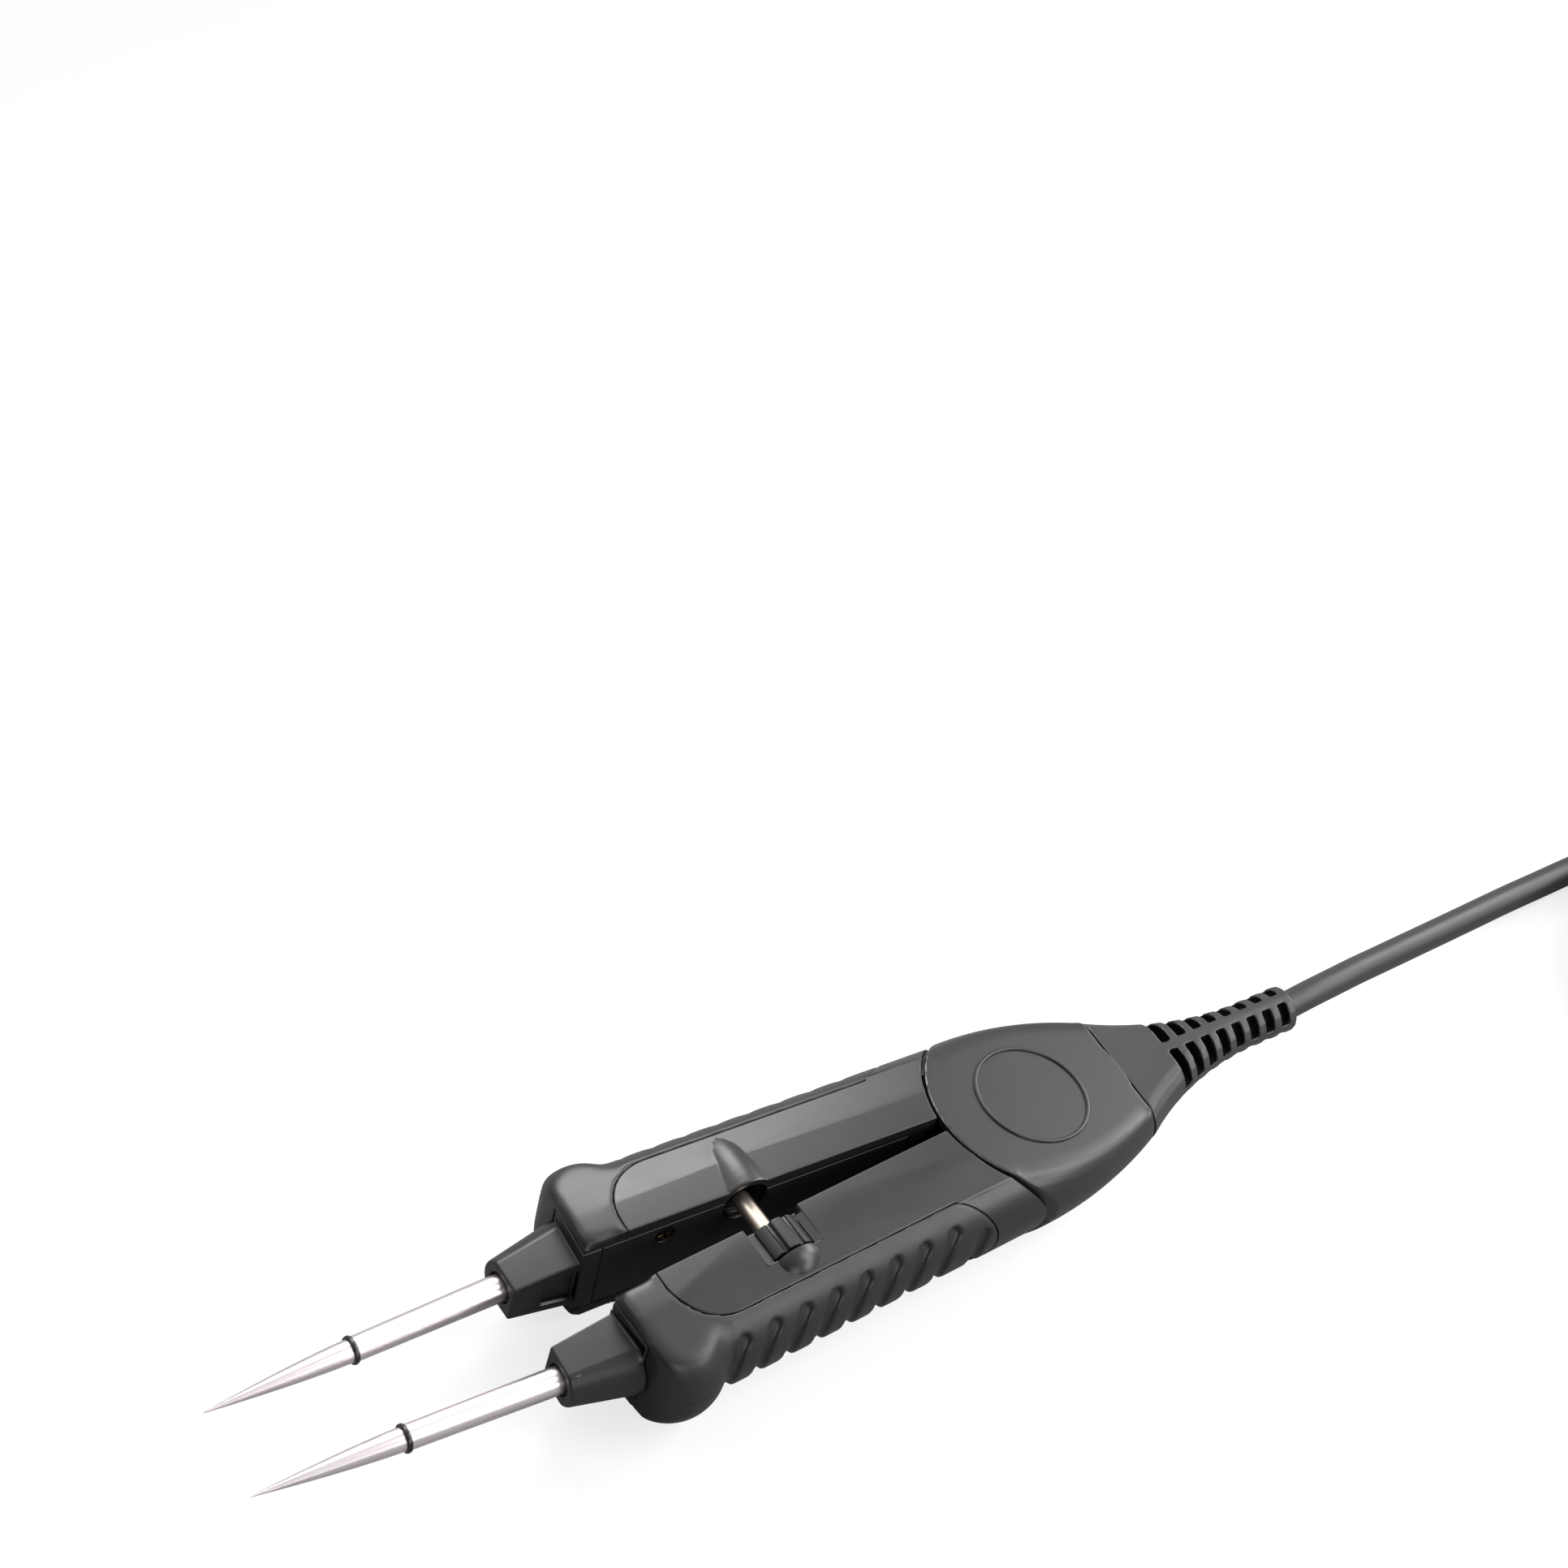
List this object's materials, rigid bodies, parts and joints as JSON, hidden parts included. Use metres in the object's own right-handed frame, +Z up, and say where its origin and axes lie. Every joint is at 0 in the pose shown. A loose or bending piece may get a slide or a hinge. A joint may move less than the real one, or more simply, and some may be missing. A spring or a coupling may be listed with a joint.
{
  "type": "soldering tweezers",
  "caption": "Hand-held soldering tweezers: sprung grips on a tapered hub carry pointed heated cartridges, with a thumbwheel stop between the arms and a lead with a screw-on connector.",
  "frame": {"origin": "on the surface that the tool lies on, under the middle of the tool without its lead", "axes": "-X towards the tips, +X towards the lead, +Y the left arm, +Z up"},
  "size_m": [0.3467, 0.0899, 0.0244],
  "materials": {
    "moulding": "satin",
    "grip": "matte",
    "jacket": "satin",
    "strap": "matte",
    "wire_jacket": "satin",
    "board": "satin",
    "insulator": "satin",
    "plated": "polished",
    "ring": "brushed",
    "steel": "brushed",
    "brass": "polished"
  },
  "bodies": {
    "hub": {"hub_top_shell": "moulding", "hub_bottom_shell": "moulding", "hub_screws": "steel", "left_pivot_pin": "steel", "right_pivot_pin": "steel", "return_spring": "steel", "terminal_board": "board", "left_hub_wire": "wire_jacket", "right_hub_wire": "wire_jacket", "cord_end": "jacket", "cable_clamp": "moulding", "strain_relief": "jacket", "cord_tube": "jacket", "cord_coil": "jacket", "coil_tie": "strap", "cord_tail": "jacket", "connector_boot": "jacket", "connector_body": "plated", "connector_insulator": "insulator", "connector_pin": "brass"},
    "left_arm": {"left_arm_shell": "moulding", "left_grip": "grip", "left_inner_cover": "moulding", "left_cover_screw": "brass", "left_nose": "moulding", "left_socket": "brass", "left_contact": "brass", "left_wire": "wire_jacket"},
    "right_arm": {"right_arm_shell": "moulding", "right_grip": "grip", "right_inner_cover": "moulding", "right_cover_screw": "brass", "right_nose": "moulding", "right_socket": "brass", "right_contact": "brass", "right_wire": "wire_jacket"},
    "left_cartridge": {"left_sleeve": "plated", "left_ring": "ring", "left_tip": "plated"},
    "right_cartridge": {"right_sleeve": "plated", "right_ring": "ring", "right_tip": "plated"},
    "thumbwheel": {"thumbwheel": "moulding"},
    "adjuster_screw": {"adjuster_screw": "plated"},
    "coupling_nut": {"coupling_nut": "plated"}
  },
  "joints": [
    {"name": "left_arm_pivot", "type": "hinge", "parent": "hub", "child": "left_arm", "pos_m": [0.04956, 0.0055, 0.0108], "axis": [0, 0, 1], "range_deg": [0, 2.93], "stiffness_Nm_per_rad": 3, "springref_deg": -2.01},
    {"name": "right_arm_pivot", "type": "hinge", "parent": "hub", "child": "right_arm", "pos_m": [0.04956, -0.0055, 0.0108], "axis": [0, 0, 1], "range_deg": [-2.93, 0], "stiffness_Nm_per_rad": 3, "springref_deg": 2.01},
    {"name": "left_cartridge_pull", "type": "slide", "parent": "left_arm", "child": "left_cartridge", "axis": [-0.9982, -0.0279, 0.0523], "range_m": [0, 0.024]},
    {"name": "right_cartridge_pull", "type": "slide", "parent": "right_arm", "child": "right_cartridge", "axis": [-0.9982, 0.0279, 0.0523], "range_m": [0, 0.024]},
    {"name": "thumbwheel_turn", "type": "hinge", "parent": "right_arm", "child": "thumbwheel", "pos_m": [-0.01003, -0.00331, 0.0173], "axis": [0.0506, -0.9987, 0], "range_deg": [-362, 362]},
    {"name": "screw_feed", "type": "slide", "parent": "right_arm", "child": "adjuster_screw", "axis": [0.0506, -0.9987, 0], "range_m": [-0.0007, 0.0007]},
    {"name": "nut_turn", "type": "hinge", "parent": "hub", "child": "coupling_nut", "pos_m": [0.18656, -0.05192, 0.01796], "axis": [-1, 0, 0], "continuous": true}
  ],
  "couplings": [
    {"joint": "thumbwheel_turn", "follows": "screw_feed", "rad_per_m": 8976}
  ]
}
